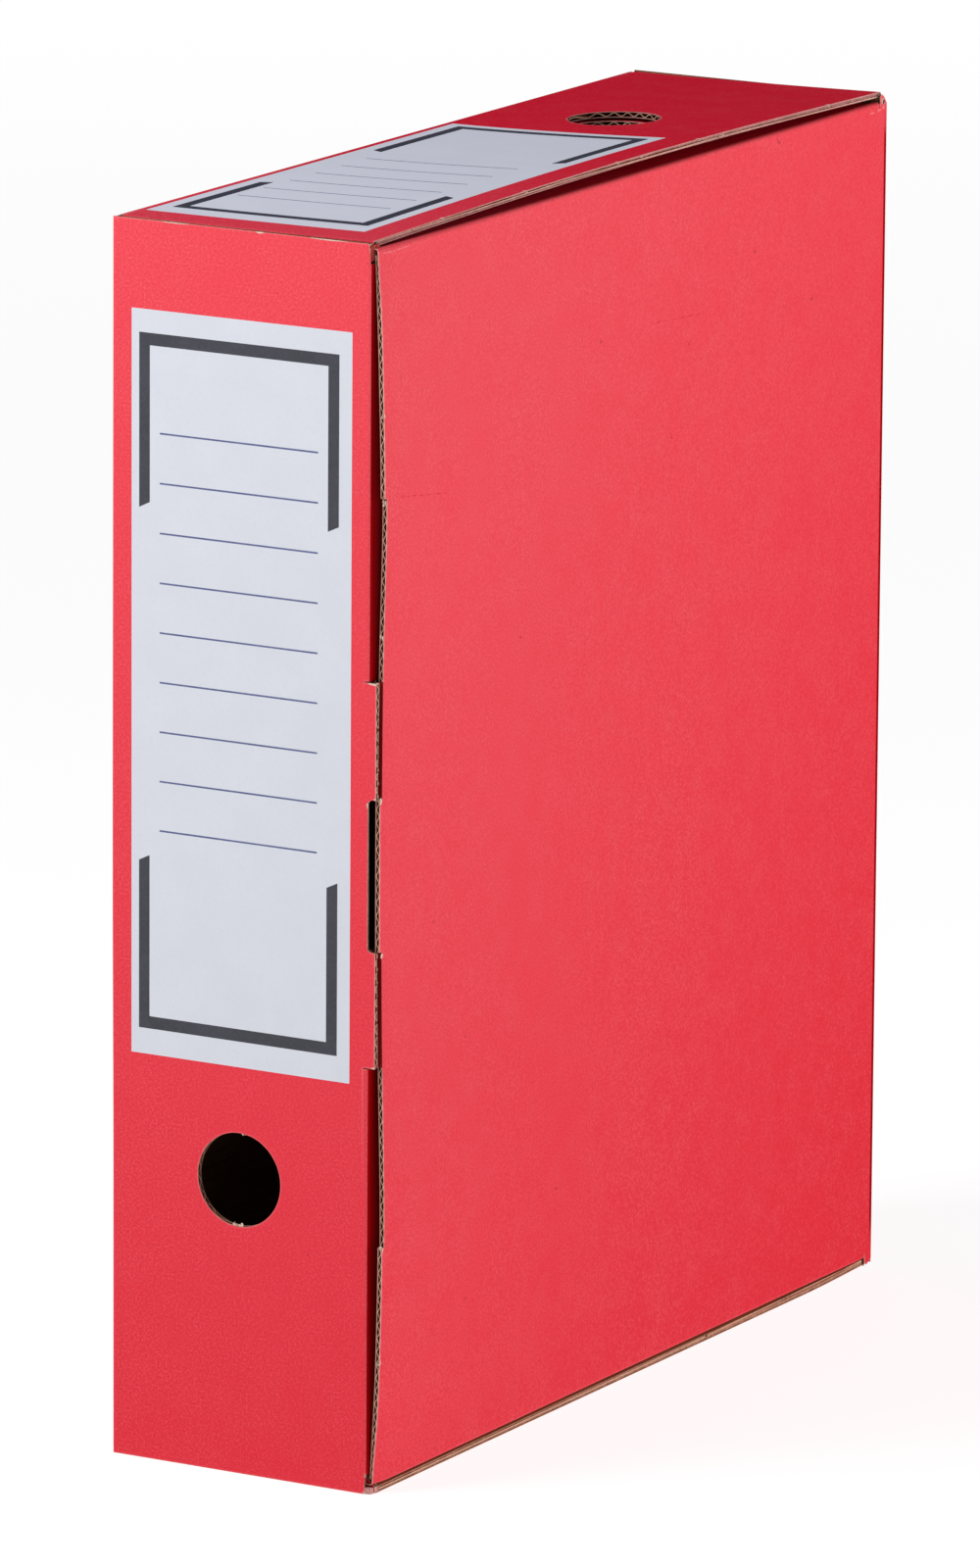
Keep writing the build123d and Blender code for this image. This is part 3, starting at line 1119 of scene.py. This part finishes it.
def tuck(end_u):
    """Outline of a tuck flap, tapered in front so that it swings clear."""
    tip_front = hinge - math.sqrt(swing**2 - (flap_tip - right + apex) ** 2)
    taper = (tip_front + flap_end) / (tuck_root - flap_tip)
    lean = math.degrees(math.atan(taper))
    corner_v = tip_front - taper * lid_flap_corner + lid_flap_corner / math.cos(math.radians(lean))
    return [
        *arc(flap_tip + lid_flap_corner, corner_v, lid_flap_corner, 180, 270 - lean),
        (end_u, -flap_end + taper * (tuck_root - end_u)),
        (end_u, flap_end),
        *arc(flap_tip + lid_flap_corner, flap_end - lid_flap_corner, lid_flap_corner, 90, 180),
    ]


tuck_walls = [((flap_tip, flap_end - lid_flap_corner), (flap_tip, -flap_end + lid_flap_corner))]
for name, panel, cut_back, hole in (
    ("lid_top_flap", tuck_top, 0.0, top_hole),
    ("lid_bottom_flap", tuck_bottom, tuck_raise, None),
):
    inner = tuck(tuck_root - tuck_relief - cut_back)
    outline = tuck(tuck_root - cut_back)
    dress(name, panel, 0, hidden_wear, outline, hole=hole, walls=tuck_walls, inner=inner)


# Label fields: a white field, a frame of two brackets and ruled lines, all printed on the liner
def bracket(columns, base, inside, ends):
    """Half of a frame: the edges of its two legs, both edges of its foot and where the legs end."""
    a, b, c, d = columns
    return [
        (a, ends[0]), (b, ends[1]), (b, inside), (c, inside),
        (c, ends[2]), (d, ends[3]), (d, base), (a, base),
    ]


def label(name, panel, looks, field, brackets, rules, u_cuts=(), v_cuts=()):
    """Generic label field on a panel; its rules have two ends, a lowest level and a count."""
    white, dark = looks
    rule_left, rule_right, lowest, count = rules
    levels = [lowest + rule_pitch * k for k in range(count)]
    lines = [box(rule_left, rule_right, level - rule_half, level + rule_half) for level in levels]
    layers = (
        ("field", [box(*field)], film, white),
        ("frame", brackets, 2 * film, dark),
        ("rules", lines, 2 * film, label_line),
    )
    for part, loops, lift, look in layers:
        layer(f"{name}_{part}", panel, cells(loops, u_cuts, v_cuts), lift, look)


front_field = (-32.3, 30.85, 104.4, 292.7)
front_columns = (-30.1, -27.05, 24.1, 27.2)
front_rules = (-24.15, 21.25, 161.7, 9)
front_brackets = [
    bracket(front_columns, 286.85, 283.75, (242.96, 244.45, 242.53, 243.95)),
    bracket(front_columns, 110.95, 114.1, (153.71, 155.19, 153.17, 154.65)),
]
label("front_label", face, (label_white, label_dark), front_field, front_brackets, front_rules)
top_field = (-35.4, 27.2, -118.4, 31.3)
top_columns = (-32.0, -28.9, 20.9, 24.0)
top_rules = (-27.0, 17.0, -88.8, 6)
top_brackets = [
    bracket(top_columns, -111.5, -108.4, (-69.8, -68.3, -68.3, -69.8)),
    bracket(top_columns, 28.2, 25.1, (-14.5, -16.0, -16.0, -14.5)),
]
# The top's label takes the copies of its inks tinted for how light falls on the top: painted light
top_lit_looks = (label_white_top_lit, label_dark_top_lit)
label("top_label", top, top_lit_looks, top_field, top_brackets, top_rules, top_u, top_v)


# Marks of use: torn spots at the edges, loose fibres, scratches and specks
def blot(u, v, half_u, half_v, chance, points=9):
    """A ragged spot."""
    outline = []
    for k in range(points):
        turn = 2 * math.pi * (k + blot_turn_share * chance.random()) / points
        reach = chance.uniform(*blot_shares)
        outline.append((u + half_u * reach * math.cos(turn), v + half_v * reach * math.sin(turn)))
    return outline


def spots(name, panel, places, look, limits, seed):
    """Ragged spots on the printed face, kept inside limits of u and v."""
    chance = random.Random(seed)
    loops = []
    for u, v, half_u, half_v in places:
        limited = []
        for a, b in blot(u, v, half_u, half_v, chance):
            a = clamp(a, *limits[0]) + spot_shake * chance.random()
            b = clamp(b, *limits[1]) + spot_shake * chance.random()
            limited.append((a, b))
        loops.append(limited)
    layer(name, panel, cells(loops), film / 2, look)


def scratch(start, end, width, chance):
    """A thin broken line between two points of a face."""
    start, end = Vector(start), Vector(end)
    run = (end - start).length
    along = (end - start).normalized()
    across = Vector((-along.y, along.x))
    loops = []
    at = 0.0
    while at < run:
        length = min(run - at, chance.uniform(*scratch_dash))
        half = across * (width / 2 * chance.uniform(*scratch_shares))
        middle = start + along * (at + length / 2)
        tail = along * (length / 2)
        loops.append([middle - tail, middle - half, middle + tail, middle + half])
        at += length + chance.uniform(*scratch_gap)
    return loops


def fibres(name, body, tufts, seed):
    """Loose flakes of torn paper in one mesh. A tuft has a place on a panel, the way it leaves it, the
    way it spreads, a length, a width and a count."""
    chance = random.Random(seed)
    verts, faces = [], []

    def sway(size):
        return size * (chance.random() - 0.5)

    for (panel, u, v, sink), out, along, length, width, count in tufts:
        place = panel.place(u, v, sink) / MM
        normal = out.cross(along)
        for k in range(count):
            shift = along * sway(width)
            lean = along * sway(flake_lean) + normal * sway(flake_lean)
            way = (out + lean).normalized()
            side = way.cross(normal).normalized()
            reach = length * chance.uniform(*flake_shares)
            half = flake_width_share * width * chance.uniform(*flake_shares)
            thick = way.cross(side) * flake_thick
            base = place + shift - way * flake_root
            bent = base + way * reach * flake_bend_share + normal * sway(flake_bend)
            end = base + way * reach + normal * sway(flake_curl)
            faces += tube(len(verts), 3)
            for point, share in zip((base, bent, end), flake_taper_shares):
                for away, lift in ((-1, -1), (-1, 1), (1, 1), (1, -1)):
                    verts.append((point + side * (away * half * share) + thick * lift) * MM)
    face_out(plain(name, verts, faces, torn, body))


# Nicks where the blank was held in its sheet, scuffs, and the frayed rim of the front's thumb hole
lid_nicks = (272.2, 250.8, 217.1, 62.9, 34.0)
lid_places = [(lid_edge, z, 0.55, 0.8) for z in lid_nicks]
lid_places += [(lid_edge, slot_high - 0.5, 1.1, 1.1), (recess, slot_low - 1.0, 0.6, 0.8)]
spots("lid_torn_spots", lid, lid_places, torn, lid_flat, 11)
scuffs = [(121.6, 311.0, 1.8, 0.3), (125.2, 311.3, 1.4, 0.35), (127.6, 311.9, 0.8, 0.9)]
scuffs += [(-125.0, 311.9, 2.4, 0.3), (-121.0, 312.0, 3.0, 0.25), (-117.0, 312.1, 2.2, 0.2)]
scuff_limits = (lid_flat[0], (lid_bottom, lid_high + 0.9 * run_on))
spots("lid_scuffs", lid, scuffs, worn_red, scuff_limits, 15)
ear_places = [(127.1, 313.5, 1.3, 1.0), (127.9, 312.9, 0.9, 1.0)]
ear_limits = ((ear_from + 0.3, inner_back + run_on), (lid_high, lid_high + ear_top))
spots("lid_ear_spots", lid, ear_places, cut_level, ear_limits, 16)
top_nicks = (35.0, 75.0, 121.0, 162.0, 230.0)
top_places = [(top_edge(front + y) - 0.3, front + y, 0.5, 0.9) for y in top_nicks]
spots("top_torn_spots", top, top_places, torn, end_flat, 12)
face_places = [(4.3, height, 1.6, 0.5), (-20.0, height, 5.0, 0.3), (24.0, height, 6.0, 0.3)]
face_places += [(slot_edge - 0.1, slot_high - 1.5, 0.25, 0.8)]
face_places += [(notch_foot, foot, 0.8, 0.8), (notch_end, 0, 0.7, 0.9)]
spots("front_torn_spots", face, face_places, torn, ((inner_left, notch_foot), (0, height)), 13)
tab_places = [(right, mid + lock, 2.6, 0.8), (right, mid - lock, 1.2, 0.6)]
tab_places += [(right, slot_high + 0.3, 0.7, 0.5)]
spots("tab_torn_spots", face, tab_places, torn, ((inner_left, right), (mid - lock, mid + lock)), 14)

hole_u, hole_v = front_hole
hole_half = thumb_hole / 2
tray_tufts = [
    ((face, hole_u - 0.6, hole_v - hole_half, 0.3), Z - 0.4 * Y, X, 1.7, 2.6, 7),
    ((face, hole_u + 0.9, hole_v + hole_half, 0.3), -Z - 0.3 * Y, X, 0.9, 1.6, 4),
]
for y in top_nicks:
    edge = top_edge(front + y)
    tray_tufts.append(((top, edge, front + y, 0.4), X + 0.2 * Z, Y, 0.8, 1.3, 4))
    tray_tufts.append(((top, edge, front + y + nick_to_fray, 0.7), X, Y, 0.4, 2.2, 3))
tray_tufts.append(((face, right, mid + lock, 0.5), X + 0.6 * Z, Y, 0.9, 1.2, 4))
fibres("tray_fibres", "tray", tray_tufts, 21)
lid_tufts = [((lid, lid_edge, z, 0.5), -Y, Z, 0.7, 1.5, 4) for z in lid_nicks]
lid_tufts.append(((lid, lid_edge, slot_high - 0.4, 0.4), -Y + 0.3 * X, Z, 0.9, 1.2, 4))
fibres("lid_fibres", "lid", lid_tufts, 22)

# Two scratches and three specks on the lid, where the red is deeper
chance = random.Random(31)
marks = scratch((-124.0, 251.5), (-97.5, 248.0), 0.55, chance)
marks += scratch((5.0, 274.0), (32.5, 272.3), 0.6, chance)
for u, v in ((52.0, 166.0), (36.0, 123.0), (-60.0, 205.0)):
    marks.append(blot(u, v, 0.55, 0.7, chance, 7))
layer("lid_scratches", lid, cells(marks, lid_u, lid_v), film / 2, deep_red)


# Floor, light and camera
def aim(thing, place, target):
    thing.location = place
    thing.rotation_euler = (Vector(target) - Vector(place)).to_track_quat("-Z", "Y").to_euler()


floor_mesh = bpy.data.meshes.new("floor")
floor_corners = box(-floor_half, floor_half, -floor_half, floor_half)
floor_mesh.from_pydata([(x, y, 0) for x, y in floor_corners], [], [(0, 1, 2, 3)])
floor = stand("floor", floor_mesh)
floor.location.z = -floor_drop
paint = Paint("floor", 0.9, 0.05)
paint.colour(paint.over((136, 136, 137), (140, 140, 141), paint.noise(3, 2), 0.2, 0.8))
# The floor glows: its emission, rising with distance from the box, is painted light that keeps it evenly
# white, and it lights the box too
paint.feed(paint.inputs["Emission Color"], (1, 1, 1, 1))
far = paint.node("VectorMath", {0: paint.coords}, "Value", operation="LENGTH")
paint.feed(paint.inputs["Emission Strength"], paint.spread(far, 0.8, 3.5, 0.87, 1.0))
floor_mesh.materials.append(paint.material)

world = bpy.data.worlds.new("studio")
world.use_nodes = True
scene.world = world
sky = world.node_tree.nodes["Background"].inputs
sky["Color"].default_value = (1, 1, 1, 1)
sky["Strength"].default_value = 0.2

for name, place, size, power in (
    ("key", (-0.56, -0.76, 1.05), 0.5, 9.6),
    ("side", (1.55, 0.63, 0.46), 0.55, 11.5),
):
    lamp = bpy.data.lights.new(name, "AREA")
    lamp.size = size
    lamp.energy = power
    lamp_object = stand(name, lamp)
    lamp_object.visible_camera = False
    aim(lamp_object, place, (0, 0, 0.2))

camera_data = bpy.data.cameras.new("camera")
camera_data.sensor_width = 36.0
camera_data.lens = 282.74
camera_data.clip_end = 100.0
camera_place = Vector((1537.5, -2661.2, 844.3)) * MM
view_right = Vector((0.86440, 0.50276, 0.00666))
view_down = Vector((0.11617, -0.18681, -0.97550))
view_ahead = Vector((-0.48920, 0.84400, -0.21988))
turn = Matrix((view_right, -view_down, -view_ahead)).transposed().to_4x4()
camera = stand("camera", camera_data)
camera.matrix_world = Matrix.Translation(camera_place) @ turn
scene.camera = camera
scene.view_settings.view_transform = "Standard"
scene.cycles.use_denoising = True
